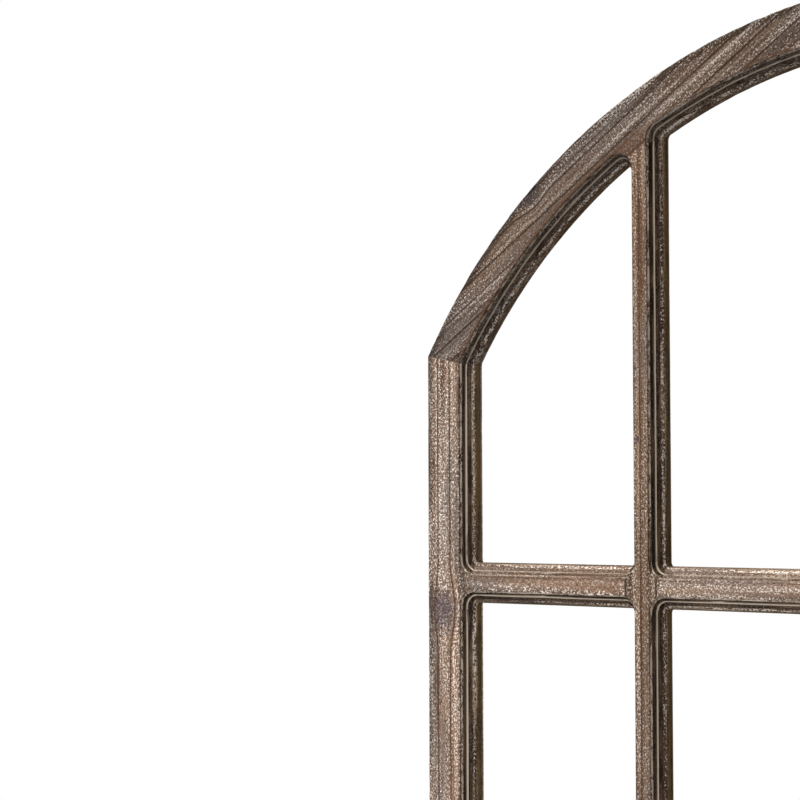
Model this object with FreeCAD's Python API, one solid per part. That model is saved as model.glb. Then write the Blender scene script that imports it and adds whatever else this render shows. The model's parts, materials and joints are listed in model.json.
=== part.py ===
import FreeCAD, Part
import math
import os

# Arched window mirror, in millimetres: a moulded wooden window sash with an arched head, a grid of
# muntins and glazing bars, and one sheet of mirror glass behind them.
# X runs along the wall, +Z is up, and the mirror faces -Y. The origin lies on the wall, midway
# between the pins of the two hanging rings.

# Overall size
width = 914.0
height = 1219.0
arch_rise = 258.0               # springing line to crown
ring_drop = 70.0                # springing line down to the hanging rings' pins

# Wood: widths are across the face, depths run back from the front face
stile_width = 46.0
rail_width = 46.0
arch_width = 44.0
muntin_width = 34.5
bar_width = 34.5
sash_depth = 15.5               # front face to glass, so also the thickness of muntins and bars
rabbet_width = 10.0             # how far the glass seat reaches under the frame
arris_radius = 1.2              # eased edge along the outside, at the front
arris_facets = 3
back_chamfer = 1.0              # the same edge at the back

# Grid: one row of panes under the arch, and equal rows below the first bar
muntin_names = ["muntin_left", "muntin_middle", "muntin_right"]
lower_rows = 3
first_bar_drop = 194.5          # springing line down to the middle of the first bar

# Moulding round each pane, from the face's arris down to the glass line. Widths run towards the pane.
step_depth = 1.8
bead_width = 1.1
bead_depth = 1.6
cove_width = 2.0
cove_depth = 2.3
nose_width = 1.0
nose_depth = 1.3
quirk_width = 2.0
quirk_depth = 0.9
bevel_width = 4.2
bevel_depth = 6.9
roundness = 0.22                # how far the bead and nose swell, and the cove sinks, over their chord
bevel_swell = 0.06              # the same for the bevel
bearing_radius = 3.5            # guide bearing of the cutter, which rounds the moulding's corners
foot_ledge = 0.2                # moulding's foot to the pane's edge that the bearing rides on

# Glass and back
glass_thickness = 3.0
board_thickness = 3.0
board_recess = 2.0              # board's back to the frame's back
glass_clearance = 1.0           # glass and board to the rabbet's edge

# Joinery
tenon_width = 13.0              # stub tenons on the muntins
tenon_thickness = 4.5
tenon_length = 12.0
tenon_start = 4.5               # front face to the tenon
loose_tenon_width = 20.0
loose_tenon_length = 44.0
loose_tenon_thickness = 6.0
dowel_radius = 2.5
dowel_depth = 8.0               # front face to the dowels' axis
dowel_reach = 14.0              # into each bar, and into the stile
corner_dowel_radius = 4.0
corner_dowel_reach = 20.0
corner_dowel_spacing = 18.0
joint_clearance = 0.1           # glue line round tenons and dowels

# Clips that hold the board and glass in the rabbet
clip_thickness = 1.2
clip_width = 12.0
clip_tongue = 11.0              # over the board
clip_foot = 17.0                # over the frame's back
clip_gap = 0.5                  # riser to the rabbet's edge
clip_screw_setback = 10.0       # rabbet's edge to the screw
stile_clips = 3
arch_clips = 2
rail_clips = 2

# Screws
clip_screw = {"shank": 1.6, "head": 3.4, "head_height": 2.0, "length": 12.0}
strap_screw = {"shank": 2.0, "head": 4.0, "head_height": 2.4, "length": 16.0}
screw_clearance = 0.05          # shank to the wood
plate_clearance = 0.3           # shank to the hole in a clip or strap
head_rounding = 0.6             # rim's fillet over the head's height
recess_share = 0.55             # cross recess's reach over the head's radius
recess_depth = 1.2
recess_width = 0.7
point_share = 0.3               # share of a shank that tapers to its point

# Hanging rings and their straps
strap_thickness = 1.5
strap_width = 14.0
strap_length = 44.0             # ring pin to the strap's lower end
strap_screws = [22.0, 36.0]     # below the ring pin
ring_wire = 3.0
ring_leg = 5.0                  # pin to the middle of the ring's bow
ring_side_clearance = 0.8
ring_corner = 2.4               # bend between pin and leg
ring_running_clearance = 0.08
ring_tilt = 1.2                 # degrees that the hanging ring leans out over its strap
curl_turn = 285.0               # degrees that the strap curls round the pin

# Wall bumpers
bumper_radius = 7.0
bumper_height = 7.0             # keeps the straps and rings clear of the wall
bumper_chamfer = 0.8
bumper_rise = 25.0              # above the frame's lower edge

overlap = 1.0                   # how far a cutting solid passes a face

half_width = width / 2
radius = (half_width ** 2 + arch_rise ** 2) / (2 * arch_rise)
springing = ring_drop
crown = springing + arch_rise
bottom = crown - height
centre = crown - radius
first_bar = springing - first_bar_drop

frame_depth = sash_depth + glass_thickness + board_thickness + board_recess
rear = -bumper_height
front = rear - frame_depth
glass_front = front + sash_depth
board_front = glass_front + glass_thickness
board_rear = board_front + board_thickness

moulding_steps = [
    (0, step_depth, 0),
    (bead_width, bead_depth, roundness),
    (cove_width, cove_depth, -roundness),
    (nose_width, nose_depth, roundness),
    (quirk_width, quirk_depth, 0),
    (bevel_width, bevel_depth, bevel_swell),
]
moulding_width = sum(step[0] for step in moulding_steps)
sight_radius = radius - arch_width
column_pitch = width / (len(muntin_names) + 1)
muntins = [(i + 1) * column_pitch - half_width for i in range(len(muntin_names))]
sill = bottom + rail_width
row_pitch = (first_bar - bar_width / 2 - sill + bar_width) / lower_rows
bars = [first_bar - i * row_pitch for i in range(lower_rows)]

# Middles of the solid wood between the frame's outer edge and its rabbet
stile_core = (stile_width - rabbet_width) / 2
arch_core = (arch_width - rabbet_width) / 2
rail_core = (rail_width - rabbet_width) / 2

ring_wire_radius = ring_wire / 2
eye_radius = ring_wire_radius + ring_running_clearance
pin_y = rear + strap_thickness + eye_radius
ring_half = strap_width / 2 + ring_side_clearance + ring_wire_radius
ring_x = half_width - stile_core


def at(x, y, z):
    return FreeCAD.Vector(x, y, z)


def line(a, b):
    return Part.LineSegment(a, b).toShape()


def arc(a, middle, b):
    return Part.Arc(a, middle, b).toShape()


def near(value, target):
    return abs(value - target) < 0.01


def plate(edges, depth):
    """Solid from a closed outline in an XZ plane, extruded along +Y."""
    return Part.Face(Part.Wire(edges)).extrude(at(0, depth, 0))


def polygon(points, low, high):
    corners = [at(x, low, z) for x, z in points]
    closed = corners[1:] + corners[:1]
    return plate([line(a, b) for a, b in zip(corners, closed)], high - low)


def slab(x, z, low, high):
    """Box over the ranges x and z, from low to high in Y."""
    return polygon([(x[0], z[0]), (x[1], z[0]), (x[1], z[1]), (x[0], z[1])], low, high)


def arch_z(reach, x):
    """Height at x of the circle of this radius about the arch's centre."""
    return centre + math.sqrt(reach ** 2 - x ** 2)


def arched_plate(side, foot, head, low, high):
    """Plate of the frame's outline, drawn in at the sides, foot and arched head."""
    x = half_width - side
    reach = radius - head
    left, right = at(-x, low, arch_z(reach, x)), at(x, low, arch_z(reach, x))
    lower_left, lower_right = at(-x, low, bottom + foot), at(x, low, bottom + foot)
    head_arc = arc(right, at(0, low, centre + reach), left)
    edges = [line(lower_left, lower_right), line(lower_right, right), head_arc, line(left, lower_left)]
    return plate(edges, high - low)


def along_y(radius_mm, x, z, low, high):
    return Part.makeCylinder(radius_mm, high - low, at(x, low, z), at(0, 1, 0))


def along_x(radius_mm, low, high, y, z):
    return Part.makeCylinder(radius_mm, high - low, at(low, y, z), at(1, 0, 0))


def facing(shape, angle, x, z):
    """Turn a shape drawn outwards along +X to this angle from +X towards +Z, and place it."""
    shape.rotate(at(0, 0, 0), at(0, -1, 0), angle)
    shape.translate(at(x, 0, z))
    return shape


def mirrored(shape):
    """The same piece for the frame's other half."""
    return shape.mirror(at(0, 0, 0), at(1, 0, 0))


# Moulding cutters

def moulding_section(offset):
    """Cutter's section: X is the distance out from the pane's edge plus offset, Y the depth."""
    x, y = offset + foot_ledge + moulding_width, front
    above, inner = front - overlap, offset - overlap
    start = at(x, above, 0)
    edges = [line(start, at(x, y, 0))]
    for run, drop, swell in moulding_steps:
        a, b = at(x, y, 0), at(x - run, y + drop, 0)
        middle = (a + b) / 2 - at(drop, run, 0) * swell
        edges.append(arc(a, middle, b) if swell else line(a, b))
        x, y = x - run, y + drop
    edges.append(line(at(x, y, 0), at(inner, y, 0)))
    edges.append(line(at(inner, y, 0), at(inner, above, 0)))
    edges.append(line(at(inner, above, 0), start))
    return Part.Face(Part.Wire(edges))


def straight_cutter(x, z, angle, length):
    """Cutter along a straight pane edge that starts at x, z and faces this angle."""
    return facing(moulding_section(0).extrude(at(0, 0, length)), angle, x, z)


def turned_cutter(x, z, reach, start, end):
    """Cutter round a centre at x, z, at this radius, from one angle to another."""
    turned = moulding_section(reach).revolve(at(0, 0, 0), at(0, -1, 0), end - start)
    return facing(turned, start, x, z)


def angle_of(x, z):
    return math.degrees(math.atan2(z, x))


def pane_cutter(left, right, low, high):
    """Cutter all round one pane; high is None where the arch closes it."""
    r = bearing_radius
    x1, x2, z1 = left + r, right - r, low + r
    if high is None:
        reach = sight_radius - r
        z_left, z_right = arch_z(reach, x1), arch_z(reach, x2)
        start, end = angle_of(x2, z_right - centre), angle_of(x1, z_left - centre)
        head = turned_cutter(0, centre, sight_radius, start, end)
    else:
        z_left = z_right = high - r
        start = end = 90
        head = straight_cutter(x2, high, 90, x2 - x1)
    stretches = [
        straight_cutter(left, z_left, 180, z_left - z1),
        straight_cutter(x1, low, 270, x2 - x1),
        straight_cutter(right, z1, 0, z_right - z1),
        turned_cutter(x1, z1, r, 180, 270),
        turned_cutter(x2, z1, r, 270, 360),
        turned_cutter(x2, z_right, r, 0, start),
        turned_cutter(x1, z_left, r, end, 180),
    ]
    return head.fuse(stretches).removeSplitter()


def pane_cutters():
    sides = [-half_width + stile_width] + [m + s * muntin_width / 2 for m in muntins for s in (-1, 1)]
    sides.append(half_width - stile_width)
    levels = [bar + s * bar_width / 2 for bar in bars for s in (1, -1)] + [sill]
    cutters = []
    for left, right in zip(sides[0::2], sides[1::2]):
        cutters.append(pane_cutter(left, right, levels[0], None))
        for high, low in zip(levels[1::2], levels[2::2]):
            cutters.append(pane_cutter(left, right, low, high))
    return cutters


# Joinery

def arch_tenon(muntin, grow):
    """Stub tenon that enters the arch, or its mortise where grow is the clearance."""
    x = (muntin - tenon_width / 2 - grow, muntin + tenon_width / 2 + grow)
    end = sight_radius + tenon_length + grow
    root = sight_radius - (0 if grow else overlap)
    low, high = front + tenon_start - grow, front + tenon_start + tenon_thickness + grow
    edges = []
    inner = [at(x[0], low, arch_z(root, x[0])), at(x[1], low, arch_z(root, x[1]))]
    outer = [at(x[1], low, arch_z(end, x[1])), at(x[0], low, arch_z(end, x[0]))]
    middle = sum(x) / 2
    edges.append(arc(inner[0], at(middle, low, arch_z(root, middle)), inner[1]))
    edges.append(line(inner[1], outer[0]))
    edges.append(arc(outer[0], at(middle, low, arch_z(end, middle)), outer[1]))
    edges.append(line(outer[1], inner[0]))
    return plate(edges, high - low)


def rail_tenon(muntin, grow):
    x = (muntin - tenon_width / 2 - grow, muntin + tenon_width / 2 + grow)
    z = (sill - tenon_length - grow, sill + (0 if grow else overlap))
    return slab(x, z, front + tenon_start - grow, front + tenon_start + tenon_thickness + grow)


def loose_tenon(x, z, angle, grow):
    """Round-edged loose tenon across a joint, its length at this angle, or its mortise."""
    length = loose_tenon_length + 2 * grow
    half = loose_tenon_width / 2 + grow
    thick = loose_tenon_thickness / 2 + grow
    section = [(-half + thick, -thick), (half - thick, -thick), (half - thick, thick), (-half + thick, thick)]
    corners = [at(-length / 2, y, z_) for z_, y in section]
    edges = [
        line(corners[0], corners[1]),
        arc(corners[1], at(-length / 2, 0, half), corners[2]),
        line(corners[2], corners[3]),
        arc(corners[3], at(-length / 2, 0, -half), corners[0]),
    ]
    solid = Part.Face(Part.Wire(edges)).extrude(at(length, 0, 0))
    facing(solid, angle, x, z)
    solid.translate(at(0, front + frame_depth / 2, 0))
    return solid


inner_springing = arch_z(sight_radius, half_width - stile_width)
shoulder_slope = math.atan2(springing - inner_springing, stile_width)


def shoulder_tenon(side, grow):
    """Loose tenon between a stile and its arch half, square to their sloping joint."""
    x = -half_width + stile_core
    z = springing - stile_core * math.tan(shoulder_slope)
    left = loose_tenon(x, z, 90 - math.degrees(shoulder_slope), grow)
    return left if side < 0 else mirrored(left)


def crown_tenon(grow):
    return loose_tenon(0, crown - arch_core, 0, grow)


def bar_dowels(grow):
    """One dowel through each muntin into its two bars, and one into each stile."""
    y = front + dowel_depth
    stile_face = half_width - stile_width
    spans = [(-stile_face - dowel_reach, -stile_face + dowel_reach)]
    spans += [(m - muntin_width / 2 - dowel_reach, m + muntin_width / 2 + dowel_reach) for m in muntins]
    spans += [(stile_face - dowel_reach, stile_face + dowel_reach)]
    return [along_x(dowel_radius + grow, low - grow, high + grow, y, z) for z in bars for low, high in spans]


def corner_dowels(grow):
    """Two dowels at each foot of the frame, from the stile into the bottom rail."""
    y = front + frame_depth / 2
    stile_face = half_width - stile_width
    middle = bottom + rail_core
    dowels = []
    for face in (-stile_face, stile_face):
        low, high = face - corner_dowel_reach - grow, face + corner_dowel_reach + grow
        for z in (middle - corner_dowel_spacing / 2, middle + corner_dowel_spacing / 2):
            dowels.append(along_x(corner_dowel_radius + grow, low, high, y, z))
    return dowels


# Screws, clips and hangers

def screw(kind, x, z, seat):
    """Screw driven forwards from the plane y = seat, with a pan head behind it and a cross recess."""
    taper = kind["length"] * point_share
    neck = seat - kind["length"] + taper
    shank = along_y(kind["shank"], x, z, neck, seat)
    point = Part.makeCone(kind["shank"], 0, taper, at(x, neck, z), at(0, -1, 0))
    head = Part.makeCylinder(kind["head"], kind["head_height"], at(x, seat, z), at(0, 1, 0))
    top = seat + kind["head_height"]
    rim = [edge for edge in head.Edges if near(edge.BoundBox.YMin, top)]
    head = head.makeFillet(kind["head_height"] * head_rounding, rim)
    solid = head.fuse([shank, point]).removeSplitter()
    reach = kind["head"] * recess_share
    floor = top - recess_depth
    across = slab((x - reach, x + reach), (z - recess_width / 2, z + recess_width / 2), floor, top + overlap)
    upright = slab((x - recess_width / 2, x + recess_width / 2), (z - reach, z + reach), floor, top + overlap)
    return solid.cut([across, upright])


def screw_hole(kind, x, z, seat):
    low = seat - kind["length"] - screw_clearance
    return along_y(kind["shank"] + screw_clearance, x, z, low, seat + overlap)


def spread(count, low, high):
    """Places of this many pieces, evenly spaced between two ends."""
    pitch = (high - low) / count
    return [low + (i + 0.5) * pitch for i in range(count)]


def clip_spots():
    """Place on the rabbet's edge and outward angle of each clip."""
    x = half_width - stile_width + rabbet_width
    spots = []
    for z in spread(stile_clips, sill, springing - ring_drop - strap_length):
        spots += [(-x, z, 180), (x, z, 0)]
    reach = sight_radius + rabbet_width
    widest = math.degrees(math.acos((half_width - stile_width) / sight_radius))
    for angle in spread(arch_clips, widest, 90):
        for turn in (angle, 180 - angle):
            slope = math.radians(turn)
            spots.append((reach * math.cos(slope), centre + reach * math.sin(slope), turn))
    for place in spread(rail_clips, -half_width + stile_width, half_width - stile_width):
        spots.append((place, sill - rabbet_width, 270))
    return spots


def screw_place(spot):
    x, z, angle = spot
    slope = math.radians(angle)
    return x + clip_screw_setback * math.cos(slope), z + clip_screw_setback * math.sin(slope)


def clip(spot):
    """Stepped clip: its foot lies on the frame's back and its tongue on the board."""
    riser = -clip_gap
    riser_back = riser - clip_thickness
    foot_top, tongue_top = rear + clip_thickness, board_rear + clip_thickness
    outline = [
        (riser, rear), (clip_foot, rear), (clip_foot, foot_top), (riser_back, foot_top),
        (riser_back, tongue_top), (-clip_tongue, tongue_top), (-clip_tongue, board_rear), (riser, board_rear),
    ]
    corners = [at(x, y, -clip_width / 2) for x, y in outline]
    edges = [line(a, b) for a, b in zip(corners, corners[1:] + corners[:1])]
    body = Part.Face(Part.Wire(edges)).extrude(at(0, 0, clip_width))
    hole = along_y(clip_screw["shank"] + plate_clearance, clip_screw_setback, 0,
                   rear - overlap, foot_top + overlap)
    x, z, angle = spot
    return facing(body.cut(hole), angle, x, z)


def strap(side):
    """Flat strap whose upper end curls round the ring's pin."""
    x = side * ring_x
    half = strap_width / 2
    low = -strap_length + half
    outline = [
        line(at(x - half, rear, 0), at(x - half, rear, low)),
        arc(at(x - half, rear, low), at(x, rear, -strap_length), at(x + half, rear, low)),
        line(at(x + half, rear, low), at(x + half, rear, 0)),
        line(at(x + half, rear, 0), at(x - half, rear, 0)),
    ]
    body = plate(outline, strap_thickness)
    for drop in strap_screws:
        body = body.cut(along_y(strap_screw["shank"] + plate_clearance, x, -drop, rear - overlap,
                                rear + strap_thickness + overlap))
    corners = [at(x - half, rear, 0), at(x + half, rear, 0),
               at(x + half, rear + strap_thickness, 0), at(x - half, rear + strap_thickness, 0)]
    section = [line(a, b) for a, b in zip(corners, corners[1:] + corners[:1])]
    curl = Part.Face(Part.Wire(section)).revolve(at(x, pin_y, 0), at(-1, 0, 0), curl_turn)
    return body.fuse(curl).removeSplitter()


def ring(side):
    """D-shaped wire ring, hanging from its pin over the strap."""
    x = side * ring_x
    wire = ring_wire_radius
    pin_half = ring_half - ring_corner
    pin = along_x(wire, x - pin_half, x + pin_half, pin_y, 0)
    pieces = [pin]
    for turn in (-1, 1):
        bend_centre = at(x + turn * pin_half, pin_y, -ring_corner)
        start = Part.Face(Part.Wire(Part.makeCircle(wire, at(x + turn * pin_half, pin_y, 0), at(1, 0, 0))))
        pieces.append(start.revolve(bend_centre, at(0, turn, 0), 90))
        leg_top = at(x + turn * ring_half, pin_y, -ring_corner)
        pieces.append(Part.makeCylinder(wire, ring_leg - ring_corner, leg_top, at(0, 0, -1)))
    bow_start = Part.Face(Part.Wire(Part.makeCircle(wire, at(x + ring_half, pin_y, -ring_leg), at(0, 0, 1))))
    pieces.append(bow_start.revolve(at(x, pin_y, -ring_leg), at(0, 1, 0), 180))
    solid = pieces[0].fuse(pieces[1:]).removeSplitter()
    solid.rotate(at(x, pin_y, 0), at(1, 0, 0), ring_tilt)
    return solid


def bumper(side):
    x, z = side * ring_x, bottom + bumper_rise
    solid = along_y(bumper_radius, x, z, rear, 0)
    rim = [edge for edge in solid.Edges if near(edge.BoundBox.YMin, 0)]
    return solid.makeChamfer(bumper_chamfer, rim)


# Wood members

def arris_section(offset):
    """Section of the front arris's cutter: X is the distance out from the frame's edge plus offset."""
    turns = [math.pi / 2 * i / arris_facets for i in range(arris_facets + 1)]
    round_x, round_y = offset - arris_radius, front + arris_radius
    corners = [at(round_x, front - overlap, 0), at(offset + overlap, front - overlap, 0),
               at(offset + overlap, round_y, 0)]
    corners += [at(round_x + arris_radius * math.cos(turn), round_y - arris_radius * math.sin(turn), 0)
                for turn in turns]
    return Part.Face(Part.Wire([line(a, b) for a, b in zip(corners, corners[1:] + corners[:1])]))


def chamfer_section(offset):
    """Section of the back chamfer's cutter, drawn the same way."""
    reach = back_chamfer + overlap
    corners = [at(offset - reach, rear + overlap, 0), at(offset + overlap, rear + overlap, 0),
               at(offset + overlap, rear - reach, 0)]
    return Part.Face(Part.Wire([line(a, b) for a, b in zip(corners, corners[1:] + corners[:1])]))


def straight_arrises():
    """Cutters along the frame's sides and foot."""
    tall, across = springing - bottom + overlap, width + 2 * overlap
    cutters = []
    for section in (arris_section, chamfer_section):
        edge = section(0)
        cutters.append(facing(edge.extrude(at(0, 0, tall)), 0, half_width, bottom - overlap))
        cutters.append(facing(edge.extrude(at(0, 0, tall)), 180, -half_width, springing))
        cutters.append(facing(edge.extrude(at(0, 0, across)), 270, -half_width - overlap, bottom))
    return cutters


def turned_arrises():
    """Cutters round the arch, which pass its feet by a degree."""
    start = math.degrees(math.acos(half_width / radius)) - 1
    return [facing(section(radius).revolve(at(0, 0, 0), at(0, -1, 0), 180 - 2 * start), start, 0, centre)
            for section in (arris_section, chamfer_section)]


def left_stile():
    outer, inner = -half_width, -half_width + stile_width
    points = [(outer, bottom), (inner, bottom), (inner, inner_springing), (outer, springing)]
    return polygon(points, front, rear)


def left_arch_half():
    outer, inner = -half_width, -half_width + stile_width
    foot, seat = at(outer, front, springing), at(inner, front, inner_springing)
    top, under = at(0, front, crown), at(0, front, centre + sight_radius)
    edges = [
        arc(foot, at(outer / 2, front, arch_z(radius, outer / 2)), top),
        line(top, under),
        arc(under, at(inner / 2, front, arch_z(sight_radius, inner / 2)), seat),
        line(seat, foot),
    ]
    return plate(edges, frame_depth)


def bottom_rail():
    reach = half_width - stile_width
    return slab((-reach, reach), (bottom, sill), front, rear)


def muntin(x):
    left, right = x - muntin_width / 2, x + muntin_width / 2
    foot_left, foot_right = at(left, front, sill), at(right, front, sill)
    head_left = at(left, front, arch_z(sight_radius, left))
    head_right = at(right, front, arch_z(sight_radius, right))
    edges = [
        line(foot_left, foot_right),
        line(foot_right, head_right),
        arc(head_right, at(x, front, arch_z(sight_radius, x)), head_left),
        line(head_left, foot_left),
    ]
    blank = plate(edges, sash_depth)
    return blank.fuse([arch_tenon(x, 0), rail_tenon(x, 0)]).removeSplitter()


def bar_blanks():
    """Bars between the stiles and muntins, row by row from the top and left to right."""
    left_ends = [-half_width + stile_width] + [m + muntin_width / 2 for m in muntins]
    right_ends = [m - muntin_width / 2 for m in muntins] + [half_width - stile_width]
    blanks = {}
    for row, z in enumerate(bars, 1):
        for column, ends in enumerate(zip(left_ends, right_ends), 1):
            across = (z - bar_width / 2, z + bar_width / 2)
            blanks[f"bar_row{row}_column{column}"] = slab(ends, across, front, glass_front)
    return blanks


def boxes_meet(a, b):
    return a.BoundBox.intersect(b.BoundBox)


def machine(blank, cutters):
    """Take from a blank every cutting solid that reaches it."""
    reached = [cutter for cutter in cutters if boxes_meet(blank, cutter)]
    return blank.cut(reached) if reached else blank


def only_solid(shape):
    """The one solid of a finished piece."""
    solids = shape.Solids
    if len(solids) != 1:
        raise ValueError(f"{len(solids)} solids where one was meant")
    return solids[0]


spots = clip_spots()
rabbet = arched_plate(stile_width - rabbet_width, rail_width - rabbet_width, arch_width - rabbet_width,
                      glass_front, rear + overlap)
mouldings = pane_cutters()
mortises = [tenon(x, joint_clearance) for x in muntins for tenon in (arch_tenon, rail_tenon)]
dowel_holes = bar_dowels(joint_clearance) + corner_dowels(joint_clearance)
loose_mortises = [shoulder_tenon(side, joint_clearance) for side in (-1, 1)] + [crown_tenon(joint_clearance)]
strap_places = [(side * ring_x, -drop) for side in (-1, 1) for drop in strap_screws]
screw_holes = [screw_hole(clip_screw, *screw_place(spot), rear) for spot in spots]
screw_holes += [screw_hole(strap_screw, x, z, rear) for x, z in strap_places]

frame_cuts = [rabbet] + mouldings + mortises + dowel_holes + loose_mortises + screw_holes
side_cuts = straight_arrises() + frame_cuts
head_cuts = turned_arrises() + frame_cuts
grid_cuts = mouldings + dowel_holes

parts = {
    "stile_left": machine(left_stile(), side_cuts),
    "arch_left": machine(left_arch_half(), head_cuts),
    "bottom_rail": machine(bottom_rail(), side_cuts),
}
for name, x in zip(muntin_names, muntins):
    parts[name] = machine(muntin(x), grid_cuts)
for name, blank in bar_blanks().items():
    parts[name] = machine(blank, grid_cuts)
parts = {name: only_solid(shape) for name, shape in parts.items()}
parts["stile_right"] = mirrored(parts["stile_left"])
parts["arch_right"] = mirrored(parts["arch_left"])

glass_inset = rabbet_width - glass_clearance
insets = (stile_width - glass_inset, rail_width - glass_inset, arch_width - glass_inset)
parts["mirror_glass"] = arched_plate(*insets, glass_front, board_front)
parts["backing_board"] = arched_plate(*insets, board_front, board_rear)

parts["crown_loose_tenon"] = crown_tenon(0)
parts["shoulder_loose_tenon_left"] = shoulder_tenon(-1, 0)
parts["shoulder_loose_tenon_right"] = shoulder_tenon(1, 0)
parts["bar_dowels"] = Part.makeCompound(bar_dowels(0))
parts["corner_dowels"] = Part.makeCompound(corner_dowels(0))

parts["board_clips"] = Part.makeCompound([clip(spot) for spot in spots])
clip_seat = rear + clip_thickness
parts["clip_screws"] = Part.makeCompound([screw(clip_screw, *screw_place(spot), clip_seat) for spot in spots])
for name, side in (("left", -1), ("right", 1)):
    parts[f"hanger_strap_{name}"] = strap(side)
    parts[f"hanger_ring_{name}"] = ring(side)
    parts[f"wall_bumper_{name}"] = bumper(side)
strap_seat = rear + strap_thickness
parts["strap_screws"] = Part.makeCompound([screw(strap_screw, x, z, strap_seat) for x, z in strap_places])

os.makedirs("parts", exist_ok=True)
for name, shape in parts.items():
    shape.exportStep(f"parts/{name}.step")
    solids = shape.Solids
    state = "valid" if shape.isValid() else "INVALID"
    print(f"{name}: {len(solids)} solids, {sum(s.Volume for s in solids):.0f} mm3, {state}")
print(f"radius {radius:.1f}, column pitch {column_pitch:.1f}, row pitch {row_pitch:.1f}, crown {crown:.1f}, "
      f"bottom {bottom:.1f}, first bar {first_bar:.1f}, springing {springing:.1f}")
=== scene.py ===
import json
import math
import random

import bmesh
import bpy
from mathutils import Matrix, Vector


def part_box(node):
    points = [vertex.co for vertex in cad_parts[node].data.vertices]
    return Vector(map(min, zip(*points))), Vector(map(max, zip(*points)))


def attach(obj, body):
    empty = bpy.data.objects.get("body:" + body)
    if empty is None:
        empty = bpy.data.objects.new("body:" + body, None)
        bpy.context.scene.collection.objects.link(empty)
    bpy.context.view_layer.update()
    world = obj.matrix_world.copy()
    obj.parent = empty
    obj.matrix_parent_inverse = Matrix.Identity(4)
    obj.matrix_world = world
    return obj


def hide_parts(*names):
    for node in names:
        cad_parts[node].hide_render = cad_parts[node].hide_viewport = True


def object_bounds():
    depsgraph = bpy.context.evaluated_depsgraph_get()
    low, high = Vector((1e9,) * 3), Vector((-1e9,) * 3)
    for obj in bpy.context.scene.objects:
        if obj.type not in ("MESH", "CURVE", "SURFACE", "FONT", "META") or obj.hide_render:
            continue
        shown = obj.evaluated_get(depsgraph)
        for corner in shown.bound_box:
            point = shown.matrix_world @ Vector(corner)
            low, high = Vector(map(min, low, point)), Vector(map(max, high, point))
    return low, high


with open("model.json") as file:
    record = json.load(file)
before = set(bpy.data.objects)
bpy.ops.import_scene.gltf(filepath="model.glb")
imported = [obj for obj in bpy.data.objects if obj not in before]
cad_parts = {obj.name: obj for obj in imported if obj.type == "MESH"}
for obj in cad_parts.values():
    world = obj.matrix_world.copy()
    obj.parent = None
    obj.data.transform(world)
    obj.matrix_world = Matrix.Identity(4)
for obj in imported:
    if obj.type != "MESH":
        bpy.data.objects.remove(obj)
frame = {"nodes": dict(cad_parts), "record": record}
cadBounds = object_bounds()
nodes = frame["nodes"]
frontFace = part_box("stile_left")[0].y      # the flat front of the frame
frameFoot = cadBounds[0][2]
crown = cadBounds[1][2]
halfWidth = cadBounds[1][0]
mergeReach = 2e-6                          # metres, closes the CAD's loose triangles
print("frame loaded:", len(nodes), "nodes")


# Helpers for node trees; an input is a value or another node's socket

def addNode(tree, kind, inputs=None, **settings):
    node = tree.nodes.new(kind)
    for name, value in settings.items():
        setattr(node, name, value)
    for key, value in (inputs or {}).items():
        if isinstance(value, bpy.types.NodeSocket):
            tree.links.new(value, node.inputs[key])
        else:
            node.inputs[key].default_value = value
    return node


def math2(tree, operation, a, b=0.0, clamp=False):
    return addNode(tree, "ShaderNodeMath", {0: a, 1: b}, operation=operation, use_clamp=clamp).outputs[0]


def times(tree, *values):
    product = values[0]
    for value in values[1:]:
        product = math2(tree, "MULTIPLY", product, value)
    return product


def wrap(tree, value, reach):
    return addNode(tree, "ShaderNodeMath", {0: value, 1: -reach, 2: reach}, operation="WRAP").outputs[0]


def vector2(tree, operation, a, b):
    return addNode(tree, "ShaderNodeVectorMath", {0: a, 1: b}, operation=operation).outputs[0]


def vectorLength(tree, vector):
    return addNode(tree, "ShaderNodeVectorMath", {0: vector}, operation="LENGTH").outputs["Value"]


def splitVector(tree, vector):
    return addNode(tree, "ShaderNodeSeparateXYZ", {0: vector}).outputs


def joinVector(tree, **parts):
    return addNode(tree, "ShaderNodeCombineXYZ", parts).outputs[0]


def blendColor(tree, factor, a, b):
    return addNode(tree, "ShaderNodeMix", {0: factor, 6: a, 7: b}, data_type="RGBA").outputs[2]


def rescale(tree, value, low, high, toLow=0.0, toHigh=1.0, smooth=False):
    node = addNode(tree, "ShaderNodeMapRange", {"Value": value, "From Min": low, "From Max": high,
                                                "To Min": toLow, "To Max": toHigh})
    node.interpolation_type = "SMOOTHSTEP" if smooth else "LINEAR"
    return node.outputs[0]


# Value where the mask is 0, and the share left of it where the mask is 1
def fade(tree, value, mask, left):
    return times(tree, value, rescale(tree, mask, 0, 1, 1.0, left))


# 1 between two places and 0 beyond them
def between(tree, value, start, full, fading, gone):
    return times(tree, rescale(tree, value, start, full), rescale(tree, value, gone, fading))


def stretchedNoise(tree, vector, scale, stretch, detail, roughness, shift):
    placed = addNode(tree, "ShaderNodeVectorMath", {0: vector, 1: (1, 1, stretch), 2: shift},
                     operation="MULTIPLY_ADD")
    noise = addNode(tree, "ShaderNodeTexNoise", {"Vector": placed.outputs[0], "Scale": scale,
                                                 "Detail": detail, "Roughness": roughness})
    return noise.outputs[0]


def newGroup(name, inputs, outputs):
    tree = bpy.data.node_groups.new(name, "ShaderNodeTree")
    for label, kind, value in inputs:
        socket = tree.interface.new_socket(label, in_out="INPUT", socket_type="NodeSocket" + kind)
        if value is not None:
            socket.default_value = value
    for label, kind in outputs:
        tree.interface.new_socket(label, in_out="OUTPUT", socket_type="NodeSocket" + kind)
    return tree, tree.nodes.new("NodeGroupInput").outputs, tree.nodes.new("NodeGroupOutput").inputs


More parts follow.
